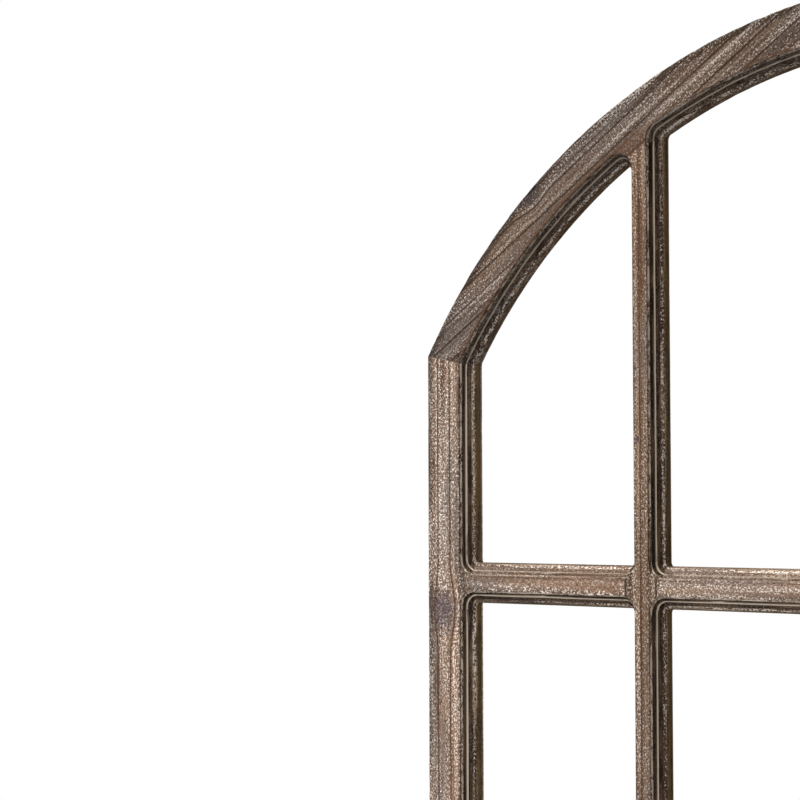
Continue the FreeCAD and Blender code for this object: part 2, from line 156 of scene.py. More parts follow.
# A tree that takes and gives geometry, with number inputs, a seed and a material
def newGeometryTree(name, labels, seeded=False):
    tree = bpy.data.node_groups.new(name, "GeometryNodeTree")
    tree.interface.new_socket("Geometry", in_out="INPUT", socket_type="NodeSocketGeometry")
    for label in labels:
        tree.interface.new_socket(label, in_out="INPUT", socket_type="NodeSocketFloat")
    if seeded:
        tree.interface.new_socket("Seed", in_out="INPUT", socket_type="NodeSocketInt")
    tree.interface.new_socket("Material", in_out="INPUT", socket_type="NodeSocketMaterial")
    tree.interface.new_socket("Geometry", in_out="OUTPUT", socket_type="NodeSocketGeometry")
    return tree, tree.nodes.new("NodeGroupInput").outputs, tree.nodes.new("NodeGroupOutput").inputs


def shifted(tree, geometry, offset):
    return addNode(tree, "GeometryNodeSetPosition", {"Geometry": geometry, "Offset": offset}).outputs[0]


def finishGeometry(tree, geometry, material, result):
    real = addNode(tree, "GeometryNodeRealizeInstances", {0: geometry}).outputs[0]
    done = addNode(tree, "GeometryNodeSetMaterial", {"Geometry": real, "Material": material}).outputs[0]
    tree.links.new(done, result[0])


# The modifier's result as a plain mesh on a new object at the origin
def bakeNodes(name, start, tree, values):
    carrier = bpy.data.objects.new(name + "Start", start)
    bpy.context.scene.collection.objects.link(carrier)
    modifier = carrier.modifiers.new("nodes", "NODES")
    modifier.node_group = tree
    for item in tree.interface.items_tree:
        if item.in_out == "INPUT" and item.name in values:
            modifier[item.identifier] = values[item.name]
    bpy.context.view_layer.update()
    evaluated = carrier.evaluated_get(bpy.context.evaluated_depsgraph_get())
    mesh = bpy.data.meshes.new_from_object(evaluated)
    carrier.modifiers.clear()
    bpy.data.objects.remove(carrier)
    mesh.name = name
    piece = bpy.data.objects.new(name, mesh)
    bpy.context.scene.collection.objects.link(piece)
    return piece


def shadeByAngle(bm, degrees):
    for face in bm.faces:
        face.smooth = True
    for edge in bm.edges:
        edge.smooth = edge.calc_face_angle(0.0) < math.radians(degrees)


# Camera, placed where the frame's edges in the photograph put it

view = {
    "place": (0.90795, -1.54488, -0.05417),
    "turn": 0.7452,            # radians from facing the wall, towards the left
    "rise": 0.0424,
    "roll": -0.0029,
    "focalPixels": 2361.3,
    "imagePixels": 800,
    "sensorWidth": 36.0,
    "nearest": 0.01,
    "farthest": 60,
}


def addCamera():
    camera = bpy.data.cameras.new("camera")
    camera.sensor_width = view["sensorWidth"]
    camera.lens = view["focalPixels"] / view["imagePixels"] * camera.sensor_width
    camera.clip_start, camera.clip_end = view["nearest"], view["farthest"]
    holder = bpy.data.objects.new("camera", camera)
    bpy.context.scene.collection.objects.link(holder)
    level = Vector((-math.sin(view["turn"]), math.cos(view["turn"]), 0))
    right = Vector((math.cos(view["turn"]), math.sin(view["turn"]), 0))
    ahead = level * math.cos(view["rise"]) + Vector((0, 0, math.sin(view["rise"])))
    up = right.cross(ahead)
    tilt = view["roll"]
    right, up = right * math.cos(tilt) + up * math.sin(tilt), up * math.cos(tilt) - right * math.sin(tilt)
    turn = Matrix((right, up, -ahead)).transposed()
    holder.matrix_world = Matrix.Translation(view["place"]) @ turn.to_4x4()
    bpy.context.scene.camera = holder


addCamera()


# Studio: white surroundings, a pale floor, a soft key lamp from the upper left, a fill and a back lamp

studio = {
    "surroundings": 0.30,      # strength that lights the object; the camera and mirrors see white
    "floorColor": (0.80, 0.79, 0.78, 1),
    "floorRadius": 1.9,
    "floorGap": 0.002,
    "floorSides": 96,
    "floorFade": (0.45, 0.98),                 # shares of the radius between which it fades out
    "aim": (0, frontFace, -0.2),
    "lamps": [
        {"name": "keyLamp", "place": (-1.9, -2.0, 3.0), "size": 1.2, "power": 200},
        {"name": "fillLamp", "place": (2.2, -3.4, 0.6), "size": 2.6, "power": 12},
        {"name": "backLamp", "place": (0.8, 3.2, 1.6), "size": 2.4, "power": 60},
    ],
}


def buildWorld():
    world = bpy.data.worlds.new("studioWorld")
    bpy.context.scene.world = world
    world.use_nodes = True
    tree = world.node_tree
    tree.nodes.clear()
    path = tree.nodes.new("ShaderNodeLightPath").outputs
    seen = math2(tree, "MAXIMUM", path["Is Camera Ray"], path["Is Glossy Ray"])
    seen = math2(tree, "MAXIMUM", seen, path["Is Transmission Ray"])
    strength = rescale(tree, seen, 0, 1, studio["surroundings"], 1.0)
    light = addNode(tree, "ShaderNodeBackground", {"Color": (1, 1, 1, 1), "Strength": strength})
    addNode(tree, "ShaderNodeOutputWorld", {"Surface": light.outputs[0]})


def buildLamps():
    for lamp in studio["lamps"]:
        light = bpy.data.lights.new(lamp["name"], "AREA")
        light.shape = "DISK"
        light.size = lamp["size"]
        light.energy = lamp["power"]
        holder = bpy.data.objects.new(lamp["name"], light)
        place = Vector(lamp["place"])
        holder.location = place
        holder.rotation_euler = (Vector(studio["aim"]) - place).to_track_quat("-Z", "Y").to_euler()
        holder.visible_camera = False
        holder.visible_glossy = False
        bpy.context.scene.collection.objects.link(holder)


def buildFloor():
    radius = studio["floorRadius"]
    mesh = bpy.data.meshes.new("floor")
    bm = bmesh.new()
    bmesh.ops.create_circle(bm, cap_ends=True, segments=studio["floorSides"], radius=radius)
    bmesh.ops.translate(bm, verts=bm.verts, vec=(0, 0, frameFoot - studio["floorGap"]))
    bm.to_mesh(mesh)
    bm.free()
    floor = bpy.data.objects.new("floor", mesh)
    bpy.context.scene.collection.objects.link(floor)
    material = bpy.data.materials.new("studioFloor")
    material.use_nodes = True
    tree = material.node_tree
    tree.nodes.clear()
    place = tree.nodes.new("ShaderNodeTexCoord").outputs["Object"]
    away = vectorLength(tree, vector2(tree, "MULTIPLY", place, (1, 1, 0)))
    start, end = studio["floorFade"]
    gone = rescale(tree, away, radius * start, radius * end, smooth=True)
    paint = addNode(tree, "ShaderNodeBsdfDiffuse", {"Color": studio["floorColor"]})
    clear = tree.nodes.new("ShaderNodeBsdfTransparent")
    mixed = addNode(tree, "ShaderNodeMixShader", {0: gone, 1: paint.outputs[0], 2: clear.outputs[0]})
    addNode(tree, "ShaderNodeOutputMaterial", {"Surface": mixed.outputs[0]})
    mesh.materials.append(material)


buildWorld()
buildLamps()
buildFloor()
bpy.context.scene.view_settings.view_transform = "Standard"
print("studio built")


# Wood: each member carries its grain coordinates, in metres: across the face, into it, along the board

wood = {
    "archGrain": 33.0,         # degrees that the arch boards' grain climbs, towards the crown
    "seed": 11,
    "sharpAngle": 32,          # degrees past which an arris is shaded sharp
    "cellAcross": 0.0015,      # metres between the cuts that give the relief its points
    "cellAlong": 0.0055,
    "cellDepth": 0.0045,
    "reliefDepth": 0.0158,     # the back stays as planed
}
boards = {"stile_left": 90, "stile_right": 90, "arch_left": wood["archGrain"],
          "arch_right": -wood["archGrain"], "bottom_rail": 0}      # degrees that the grain climbs
boards.update({name: 90 for name in nodes if name.startswith("muntin")})
boards.update({name: 0 for name in nodes if name.startswith("bar_row")})


# Cuts the faces into strips a step wide, halving them each time so that no cut meets them all
def divide(bm, faces, direction, low, high, step):
    count = round((high - low) / step)
    if count < 2 or not faces:
        return
    middle = low + step * (count // 2)
    around = set(faces)
    for face in faces:
        around.update(face.edges)
        around.update(face.verts)
    cut = bmesh.ops.bisect_plane(bm, geom=list(around), dist=1e-6, plane_co=direction * middle,
                                 plane_no=direction)
    cut = [item for item in cut["geom"] if isinstance(item, bmesh.types.BMFace)]
    below = [face for face in cut if face.calc_center_median().dot(direction) < middle]
    above = [face for face in cut if face.calc_center_median().dot(direction) >= middle]
    divide(bm, below, direction, low, middle, step)
    divide(bm, above, direction, middle, high, step)


# Copy of a CAD member with merged corners, cut into cells, with the grain attribute of its board
def woodCopy(name, climb, draw):
    mesh = nodes[name].data.copy()
    slope = math.radians(climb)
    along = Vector((math.cos(slope), 0, math.sin(slope)))
    across = Vector((-math.sin(slope), 0, math.cos(slope)))
    bm = bmesh.new()
    bm.from_mesh(mesh)
    bmesh.ops.remove_doubles(bm, verts=bm.verts, dist=mergeReach)
    shadeByAngle(bm, wood["sharpAngle"])
    limit = frontFace + wood["reliefDepth"]
    into = Vector((0, 1, 0))
    for direction, cell in ((across, "cellAcross"), (into, "cellDepth"), (along, "cellAlong")):
        reach = [vertex.co.dot(direction) for vertex in bm.verts]
        shown = [face for face in bm.faces if face.calc_center_median().y < limit]
        divide(bm, shown, direction, min(reach), max(reach), wood[cell])
    bm.to_mesh(mesh)
    bm.free()
    mesh.materials.clear()
    start = Vector((draw.uniform(-1, 1), draw.uniform(-0.3, 0.3), draw.uniform(-3, 3)))
    grain = mesh.attributes.new("grain", "FLOAT_VECTOR", "POINT")
    values = []
    for vertex in mesh.vertices:
        point = vertex.co
        values += [point.dot(across) + start.x, point.y + start.y, point.dot(along) + start.z]
    grain.data.foreach_set("vector", values)
    return mesh


finish = {
    "earlyWood": (0.115, 0.064, 0.038, 1),
    "paleWood": (0.400, 0.262, 0.175, 1),
    "lateWood": (0.080, 0.040, 0.025, 1),
    "darkPit": (0.050, 0.032, 0.024, 1),
    "whitewash": (0.960, 0.850, 0.760, 1),
    "knot": (0.120, 0.092, 0.095, 1),
    "rear": (0.200, 0.120, 0.070, 1),
    "greyWash": (0.235, 0.185, 0.160, 1),
    "pinkTint": (0.340, 0.200, 0.122, 1),
    "darkStainAndShade": (0.008, 0.0045, 0.003, 1),
    "thinStainAndShade": (0.105, 0.066, 0.042, 1),
    "ochre": (0.125, 0.078, 0.033, 1),
    "bevelStreak": (0.520, 0.400, 0.280, 1),
    "amber": (0.190, 0.098, 0.056, 1),
    "creamAndHighlight": (0.820, 0.700, 0.560, 1),
    "lateStrength": 0.88,
    "knotStrength": 0.90,
    # arrisHighlightStrength: painted highlight, with rubbed cream, on arrises that face up
    "arrisHighlightStrength": 0.85,     # of the cream rubbed onto arrises that face up
    "rearStrength": 0.45,
    "specular": 0.05,
    "bumpStrength": 0.55,
    "bumpDistance": 0.0005,
    "bumpShares": {"streak": 0.45, "fleck": 0.75, "line": 0.30},
}

# Noise along the grain: scale across it, squeeze along it, detail, roughness, shift
patterns = {
    "streak": (1 / 0.0048, 0.030, 4.0, 0.62, (0, 0, 0)),
    "hair": (1 / 0.0026, 0.022, 2.0, 0.50, (1, 4, 0)),
    "fleck": (1 / 0.0013, 0.70, 2.0, 0.60, (0, 0, 0)),
    "pit": (1.1 / 0.0013, 0.60, 2.0, 0.60, (3, 0, 0)),
    "blotch": (95, 0.07, 4.0, 0.65, (0, 0, 0)),
    "cloud": (32, 0.16, 2.0, 0.50, (0, 5, 0)),
    "tint": (22, 0.12, 2.0, 0.50, (0, 0, 7)),
    "dregs": (330, 0.07, 4.0, 0.70, (4, 4, 0)),
    "bevelLine": (1 / 0.0028, 0.030, 3.0, 0.65, (2, 0, 3)),
    "dash": (420, 0.22, 3.0, 0.60, (9, 0, 0)),
    "knotRim": (260, 0.50, 3.0, 0.60, (0, 0, 0)),
    "soft": (1 / 0.0052, 0.035, 2.0, 0.50, (0, 0, 0)),
    "dent": (70, 0.55, 2.0, 0.50, (5, 0, 2)),
    "chip": (130, 0.45, 3.0, 0.60, (0, 2, 8)),
}

# The two values of a pattern or mask between which it takes effect, and its effect at each
levels = {
    "paleStreak": (0.36, 0.64),
    "pinkTint": (0.46, 0.62, 0.0, 0.65),
    "greyPatch": (0.45, 0.65, 0.0, 0.75),
    "lateLine": (0.82, 0.95),
    "hairLine": (0.62, 0.70, 0.0, 0.8),
    "darkPit": (0.45, 0.38, 0.0, 0.80),
    "washCover": (0.38, 0.60, 0.26, 1.10),
    "fleck": (0.530, 0.61),
    "fleckOnStainAndShade": (0.50, 1.0, 1.0, 0.06),
    "fleckOnBand": (0.0, 1.0, 0.40, 2.2),      # on the moulding, and on the band of its bevel
    "amberPatch": (0.36, 0.58, 0.25, 0.95),
    "edgeShadePatches": (0.66, 0.36, 0.35, 1.0),
    "dregs": (0.44, 0.60),
    "ochreOnDregs": (0.0, 1.0, 0.50, 1.0),
    "bevelLine": (0.50, 0.62, 0.0, 0.95),
    "lineBreak": (0.40, 0.58, 0.15, 1.0),
    "dash": (0.45, 0.55),
    "beadPatch": (0.25, 0.45),
    "roughness": (0.3, 0.7, 0.62, 0.86),
    "facesUp": (0.15, 0.70),
    "facesBack": (0.35, 0.60),
    "knotRim": (0.3, 0.7, -0.5, 0.5),
    "brushing": (0.35, 0.65, 1.0, 0.0),
    "dent": (0.60, 0.74),
    "chip": (0.50, 0.70, 0.10, 1.0),
}

# Depths below the front, in metres: start and full, and for a band also where it fades and is gone
bands = {
    "arris": (0.00006, 0.0002, 0.0006, 0.0009),
    "wornFront": (0.00002, 0.0003, 0.0030, 0.0034),
    "fleckedBevel": (0.0090, 0.0097, 0.0109, 0.0120),
    "linedBevel": (0.0087, 0.0093, 0.0123, 0.0129),
    "moulding": (0.0034, 0.0036),
    "bead": (0.0045, 0.0055),
    "ochre": (0.0120, 0.0126),
    "amber": (0.0026, 0.0012),
    "relief": (wood["reliefDepth"], 0.0150),
}

# What is left of the first where the second is full
left = {
    "washOnRear": 0.10,
    "washOnLines": 0.15,
    "flecksOnKnot": 0.30,
    "flecksOnAmber": 0.25,
    # Tops and lit top sides keep less stain and shade and less cream: painted light from above
    "stainAndShadeOnLitTops": 0.80,
    "stainAndShadeOnLitTopside": 0.42,
    "stainAndShadeOnAmber": 0.35,
    "creamAndHighlightOnLitTopside": 0.2,
}

lateLines = {
    "spacing": 0.0145,         # metres between the dark late-wood lines
    "wander": 3.0,
    "wanderDetail": 2.0,
    "wanderScale": 0.35,
    "squeeze": (1, 0.6, 0.05),
    "tilt": 2.2,               # how far a line leans as it goes into the board
    "waveAtOne": 0.31416,      # metres between the wave texture's lines at scale 1
}

# Millimetres below the front, and how much of the dark stain with painted shade in the recesses, and of the
# rubbed cream with painted highlight on the step and the nose, lies there
rampDepth = 16.0
recessStainAndShade = [(0.0, 0.0), (0.6, 0.10), (1.0, 0.82), (1.6, 0.85), (2.0, 0.40), (3.0, 0.40), (3.5, 0.96),
               (5.8, 0.96), (6.1, 0.10), (6.8, 0.10), (7.0, 0.90), (8.6, 0.90), (9.2, 0.72), (12.0, 0.72),
               (12.6, 0.92), (14.8, 0.94), (15.2, 1.0)]
rubbedCreamAndHighlight = [(0.0, 0.0), (1.7, 0.0), (1.9, 0.78), (3.0, 0.78), (3.3, 0.0), (5.7, 0.0), (5.95, 1.0),
               (6.65, 1.0), (6.9, 0.0), (15.6, 0.0)]


def grainNoise(tree, grain, name):
    return stretchedNoise(tree, grain, *patterns[name])


def graded(tree, value, name, smooth=False):
    return rescale(tree, value, *levels[name], smooth=smooth)


def depthRamp(tree, depth, stops):
    scaled = math2(tree, "DIVIDE", depth, rampDepth / 1000)
    ramp = addNode(tree, "ShaderNodeFloatCurve", {"Value": scaled})
    curve = ramp.mapping.curves[0]
    curve.points[0].location = (0, stops[0][1])
    curve.points[1].location = (1, stops[-1][1])
    for place, value in stops[1:]:
        curve.points.new(place / rampDepth, value)
    for point in curve.points:
        point.handle_type = "VECTOR"
    ramp.mapping.update()
    return ramp.outputs[0]


# Dark late-wood lines and finer hair lines; the relief cuts the same lines into the mesh
def grainLines(tree, grain):
    lazy = vector2(tree, "MULTIPLY", grain, lateLines["squeeze"])
    lean = joinVector(tree, X=times(tree, splitVector(tree, grain)["Y"], lateLines["tilt"]))
    rings = addNode(tree, "ShaderNodeTexWave",
                    {"Vector": vector2(tree, "ADD", lazy, lean),
                     "Scale": lateLines["waveAtOne"] / lateLines["spacing"],
                     "Distortion": lateLines["wander"], "Detail": lateLines["wanderDetail"],
                     "Detail Scale": lateLines["wanderScale"]},
                    wave_type="BANDS", bands_direction="X", wave_profile="SAW").outputs[1]
    late = graded(tree, rings, "lateLine", smooth=True)
    return math2(tree, "MAXIMUM", late, graded(tree, grainNoise(tree, grain, "hair"), "hairLine"))


# Bare wood: streaks, warm and grey patches, late wood, knots and pits
def bareWood(tree, given, noise, late):
    pale = graded(tree, noise["streak"], "paleStreak")
    color = blendColor(tree, pale, finish["earlyWood"], finish["paleWood"])
    color = blendColor(tree, graded(tree, noise["tint"], "pinkTint"), color, finish["pinkTint"])
    greyed = math2(tree, "ADD", graded(tree, noise["cloud"], "greyPatch"), given["Grey"], True)
    color = blendColor(tree, greyed, color, finish["greyWash"])
    color = blendColor(tree, times(tree, late, finish["lateStrength"]), color, finish["lateWood"])
    color = blendColor(tree, times(tree, given["Knot"], finish["knotStrength"]), color, finish["knot"])
    return blendColor(tree, graded(tree, noise["pit"], "darkPit"), color, finish["darkPit"])


# Dark stain with painted shade in the moulding's recesses, and painted shade along the edges and below the
# bars' middles; faces that face up and lit top sides keep less of it, as painted light from above
def stainAndShadeMask(tree, given, noise, up):
    stainAndShade = depthRamp(tree, given["Depth"], recessStainAndShade)
    stainAndShade = fade(tree, stainAndShade, up, left["stainAndShadeOnLitTops"])
    stainAndShade = fade(tree, stainAndShade, given["LitTopside"], left["stainAndShadeOnLitTopside"])
    stainAndShade = fade(tree, stainAndShade, given["Amber"], left["stainAndShadeOnAmber"])
    edge = times(tree, given["EdgeShade"], graded(tree, noise["blotch"], "edgeShadePatches"))
    return math2(tree, "MAXIMUM", stainAndShade, edge)


# Colour of the dark stain and painted shade, lighter in the dregs and ochre near the glass
def stainAndShadeColor(tree, depth, dregs):
    color = blendColor(tree, dregs, finish["darkStainAndShade"], finish["thinStainAndShade"])
    ochre = rescale(tree, depth, *bands["ochre"])
    ochre = times(tree, ochre, graded(tree, dregs, "ochreOnDregs"))
    return blendColor(tree, ochre, color, finish["ochre"])


# Flecks of whitewash; the back, the lines, knots, amber wood and the stained and painted-shade places took
# less of it
def washMask(tree, given, noise, late, amber, stainAndShade):
    wash = fade(tree, given["Wash"], given["Rear"], left["washOnRear"])
    cover = fade(tree, graded(tree, noise["blotch"], "washCover"), late, left["washOnLines"])
    aligned = times(tree, math2(tree, "SUBTRACT", noise["streak"], 0.5), given["Streaky"])
    flecks = graded(tree, math2(tree, "ADD", noise["fleck"], aligned), "fleck")
    flecks = times(tree, flecks, cover, wash, graded(tree, stainAndShade, "fleckOnStainAndShade"))
    flecks = fade(tree, flecks, given["Knot"], left["flecksOnKnot"])
    flecks = fade(tree, flecks, amber, left["flecksOnAmber"])
    flat = math2(tree, "SUBTRACT", 1.0, rescale(tree, given["Depth"], *bands["moulding"]))
    onBand = between(tree, given["Depth"], *bands["fleckedBevel"])
    share = math2(tree, "MAXIMUM", flat, graded(tree, onBand, "fleckOnBand"))
    return math2(tree, "MULTIPLY", flecks, share, True)


# Pale lines along the bevel, broken up by the pits
def bevelMask(tree, depth, noise):
    line = graded(tree, noise["bevelLine"], "bevelLine")
    onBevel = between(tree, depth, *bands["linedBevel"])
    return times(tree, line, onBevel, graded(tree, noise["pit"], "lineBreak"))


# Cream rubbed onto the step and the bead, with painted highlight there and on the arrises that face up; it is
# worn to dashes
def creamAndHighlightMask(tree, given, noise, up):
    creamWithHighlight = depthRamp(tree, given["Depth"], rubbedCreamAndHighlight)
    creamWithHighlight = fade(tree, creamWithHighlight, given["LitTopside"], left["creamAndHighlightOnLitTopside"])
    arris = between(tree, given["Depth"], *bands["arris"])
    creamWithHighlight = math2(tree, "MAXIMUM", creamWithHighlight, times(tree, arris, up, finish["arrisHighlightStrength"]))
    onBead = rescale(tree, given["Depth"], *bands["bead"])
    solid = times(tree, onBead, graded(tree, noise["blotch"], "beadPatch"))
    return times(tree, creamWithHighlight, math2(tree, "MAXIMUM", graded(tree, noise["dash"], "dash"), solid))


def buildGrainGroup():
    plain = {"Depth": 0.0, "Wash": 1.0, "Tone": 1.0, "Grey": 0.0, "Warmth": 1.0, "Upward": 0.0, "Rear": 0.0,
             "Knot": 0.0, "EdgeShade": 0.0, "LitTopside": 0.0, "Lines": 1.0, "Streaky": 0.2, "Amber": 0.0}
    inputs = [("Grain", "Vector", None)] + [(label, "Float", value) for label, value in plain.items()]
    tree, given, result = newGroup("brushedFir", inputs,
                                   [("Color", "Color"), ("Height", "Float"), ("Roughness", "Float")])
    grain, depth = given["Grain"], given["Depth"]
    used = ("streak", "fleck", "pit", "blotch", "cloud", "tint", "dregs", "bevelLine", "dash")
    noise = {name: grainNoise(tree, grain, name) for name in used}
    late = times(tree, grainLines(tree, grain), given["Lines"])
    # Faces that face up keep less stain and shade, and their arrises get cream as painted highlight: painted
    # light from above
    up = graded(tree, given["Upward"], "facesUp")
    amber = times(tree, given["Amber"], graded(tree, noise["cloud"], "amberPatch"))
    stainAndShade = stainAndShadeMask(tree, given, noise, up)
    flecks = washMask(tree, given, noise, late, amber, stainAndShade)
    color = bareWood(tree, given, noise, late)
    color = blendColor(tree, amber, color, finish["amber"])
    dregs = graded(tree, noise["dregs"], "dregs")
    # Dark stain and painted shade laid over the wood
    color = blendColor(tree, stainAndShade, color, stainAndShadeColor(tree, depth, dregs))
    color = blendColor(tree, bevelMask(tree, depth, noise), color, finish["bevelStreak"])
    color = blendColor(tree, flecks, color, finish["whitewash"])
    color = blendColor(tree, creamAndHighlightMask(tree, given, noise, up), color, finish["creamAndHighlight"])
    color = blendColor(tree, times(tree, given["Rear"], finish["rearStrength"]), color, finish["rear"])
    toned = addNode(tree, "ShaderNodeHueSaturation", {"Value": given["Tone"], "Saturation": given["Warmth"],
                                                      "Color": color}).outputs[0]
    tree.links.new(toned, result["Color"])
    shares = finish["bumpShares"]
    height = times(tree, late, shares["line"])
    for name in ("streak", "fleck"):
        height = math2(tree, "ADD", times(tree, noise[name], shares[name]), height)
    tree.links.new(height, result["Height"])
    tree.links.new(graded(tree, noise["fleck"], "roughness"), result["Roughness"])
    return tree


brushedFir = buildGrainGroup()


# How each kind of member took the finish, and the way across its boards' grain
# LitTopside: how much painted light from above lightens the stain and shade on a member's top sides
members = {
    "stile": {"Wash": 1.0, "Tone": 0.98, "Grey": 0.10, "Warmth": 1.05, "Lines": 1.0, "Streaky": 0.30},
    "arch": {"Wash": 1.0, "Tone": 0.56, "Grey": 0.16, "Warmth": 1.0, "Lines": 1.0, "Streaky": 0.52,
             "LitTopside": 0.42},
    "muntin": {"Wash": 0.90, "Tone": 0.79, "Grey": 0.02, "Warmth": 1.08, "Lines": 0.9, "Streaky": 0.25},
    "bar": {"Wash": 1.0, "Tone": 1.03, "Grey": 0.10, "Warmth": 1.0, "Lines": 0.5, "Streaky": 0.35},
    "bottom": {"Wash": 1.0, "Tone": 1.0, "Grey": 0.05, "Warmth": 1.05, "Lines": 0.9, "Streaky": 0.35,
               "LitTopside": 1.0},
}
knots = {                      # place of the middle in x and z, and reach, in metres
    "stile": [(-0.4410, -0.1470, 0.0190), (-0.4380, -0.6120, 0.0045), (0.4405, -0.3310, 0.0080)],
    "arch": [(-0.3433, 0.2008, 0.0120), (0.2120, 0.2790, 0.0055)],
    "muntin": [(-0.2319, -0.0067, 0.0032), (0.2312, -0.5240, 0.0040), (-0.0030, -0.3010, 0.0036)],
    "bar": [(-0.0900, -0.6158, 0.0034)],
    "bottom": [(0.1310, -0.8760, 0.0060)],
}
knotShape = {                  # in reaches of the knot
    "halo": (2.2, 0.3),        # between which the grain bends round it
    "bend": 0.45,
    "core": (1.25, 0.35),      # between which it darkens
}
archClimb = math.radians(wood["archGrain"])
acrossGrain = {"arch": (math.sin(archClimb), 0, -math.cos(archClimb))}
acrossGrain.update({kind: (1, 0, 0) for kind in ("stile", "muntin")})
acrossGrain.update({kind: (0, 0, -1) for kind in ("bar", "bottom")})
# The zone that paints shade along each kind's edges
edgeShadeZone = {"stile": "OuterEdgeShade", "arch": "OuterEdgeShade", "bottom": "OuterEdgeShade",
               "muntin": "MuntinEdgeShade", "bar": "BarUnderShade"}

# Distances in metres between which a zone starts and is full, and its strength there; the outer, inner,
# muntin and bar zones are painted shade, the bar's top zone is painted light
edges = {
    "outer": (0.0090, 0.0040, 0.0, 0.78),      # in from the frame's outline
    "inner": (-0.0030, 0.0, 0.0, 0.70),        # from the arris of a stile's moulding
    "amber": (-0.0075, -0.0010),               # from the arris of the arch's moulding
    "panes": (0.0030, 0.0040),                 # in from the outline; the outer sides have no moulding
    "muntin": (0.0030, 0.0068, 0.0, 0.55),     # from the muntin's middle
    "bar": (-0.0024, -0.0060, 0.0, 0.92),      # below the bar's middle
    "barLitTop": (0.0058, 0.0066),                # above the bar's middle
}
mouldingWidth = 0.0105


def middleOf(name):
    low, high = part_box(name)
    return (low + high) / 2


# The outline's circle and the grid, from the frame's own pieces
def measureOutline():
    stileLow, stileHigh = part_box("stile_left")
    rise = crown - stileHigh.z
    radius = (halfWidth ** 2 + rise ** 2) / (2 * rise)
    firstBar = middleOf("bar_row1_column1").z
    return {
        "springing": stileHigh.z,
        "radius": radius,
        "centre": crown - radius,
        "flat": stileHigh.x - stileLow.x - mouldingWidth,
        "columnPitch": middleOf("muntin_middle").x - middleOf("muntin_left").x,
        "firstBar": firstBar,
        "rowPitch": firstBar - middleOf("bar_row2_column1").z,
    }


outline = measureOutline()


# Depth below the front on the panes' side only, masks for the painted shade along edges and under the bars,
# for the bars' lit top sides and the back, and what faces up
def buildZoneGroup():
    labels = ("Depth", "Rear", "Upward", "OuterEdgeShade", "MuntinEdgeShade", "BarUnderShade", "BarLitTop", "Amber")
    tree, given, result = newGroup("frameZones", [("Place", "Vector", None), ("Normal", "Vector", None)],
                                   [(label, "Float") for label in labels])
    place, facing = splitVector(tree, given["Place"]), splitVector(tree, given["Normal"])
    fromSide = math2(tree, "SUBTRACT", halfWidth, math2(tree, "ABSOLUTE", place["X"]))
    fromFoot = math2(tree, "SUBTRACT", place["Z"], frameFoot)
    offset = vector2(tree, "ADD", given["Place"], (0, 0, -outline["centre"]))
    radial = vectorLength(tree, vector2(tree, "MULTIPLY", offset, (1, 0, 1)))
    below = math2(tree, "LESS_THAN", place["Z"], outline["springing"])
    above = math2(tree, "SUBTRACT", 1.0, below)
    fromArch = math2(tree, "ADD", math2(tree, "SUBTRACT", outline["radius"], radial), below)
    inside = math2(tree, "MINIMUM", math2(tree, "MINIMUM", fromSide, fromFoot), fromArch)

    # Painted shade in from the outline and beside a stile's moulding
    outer = rescale(tree, inside, *edges["outer"], smooth=True)
    pastFlat = math2(tree, "SUBTRACT", fromSide, outline["flat"])
    inner = times(tree, rescale(tree, pastFlat, *edges["inner"], smooth=True), below)
    tree.links.new(math2(tree, "MAXIMUM", outer, inner), result["OuterEdgeShade"])
    fromMuntin = math2(tree, "ABSOLUTE", wrap(tree, place["X"], outline["columnPitch"] / 2))
    tree.links.new(rescale(tree, fromMuntin, *edges["muntin"], smooth=True), result["MuntinEdgeShade"])
    aboveFirst = math2(tree, "SUBTRACT", place["Z"], outline["firstBar"])
    fromBar = wrap(tree, aboveFirst, outline["rowPitch"] / 2)
    # Painted shade below each bar's middle, and painted light above it
    tree.links.new(rescale(tree, fromBar, *edges["bar"], smooth=True), result["BarUnderShade"])
    tree.links.new(rescale(tree, fromBar, *edges["barLitTop"]), result["BarLitTop"])

    rear = graded(tree, facing["Y"], "facesBack")
    depth = times(tree, math2(tree, "SUBTRACT", place["Y"], frontFace),
                  rescale(tree, inside, *edges["panes"]), math2(tree, "SUBTRACT", 1.0, rear))
    archFlat = math2(tree, "SUBTRACT", fromArch, outline["flat"])
    amber = times(tree, rescale(tree, archFlat, *edges["amber"], smooth=True),
                  rescale(tree, depth, *bands["amber"]), above)
    tree.links.new(depth, result["Depth"])
    tree.links.new(amber, result["Amber"])
    tree.links.new(rear, result["Rear"])
    tree.links.new(facing["Z"], result["Upward"])
    return tree


# A knot darkens its middle and spreads the grain around it
def buildKnotGroup():
    vectors = [(label, "Vector", None) for label in ("Grain", "Place", "Spot", "Across")]
    tree, given, result = newGroup("knot", vectors + [("Reach", "Float", 0.01)],
                                   [("Grain", "Vector"), ("Core", "Float")])
    away = vector2(tree, "MULTIPLY", vector2(tree, "SUBTRACT", given["Place"], given["Spot"]), (1, 0, 1))
    aside = addNode(tree, "ShaderNodeVectorMath", {0: away, 1: given["Across"]}, operation="DOT_PRODUCT")
    reach = math2(tree, "DIVIDE", vectorLength(tree, away), given["Reach"])
    halo = rescale(tree, reach, *knotShape["halo"], smooth=True)
    moved = joinVector(tree, X=times(tree, aside.outputs["Value"], halo, knotShape["bend"]))
    ragged = graded(tree, grainNoise(tree, given["Grain"], "knotRim"), "knotRim")
    core = rescale(tree, math2(tree, "ADD", reach, ragged), *knotShape["core"], smooth=True)
    tree.links.new(vector2(tree, "ADD", given["Grain"], moved), result["Grain"])
    tree.links.new(core, result["Core"])
    return tree


zones = buildZoneGroup()
knotGroup = buildKnotGroup()


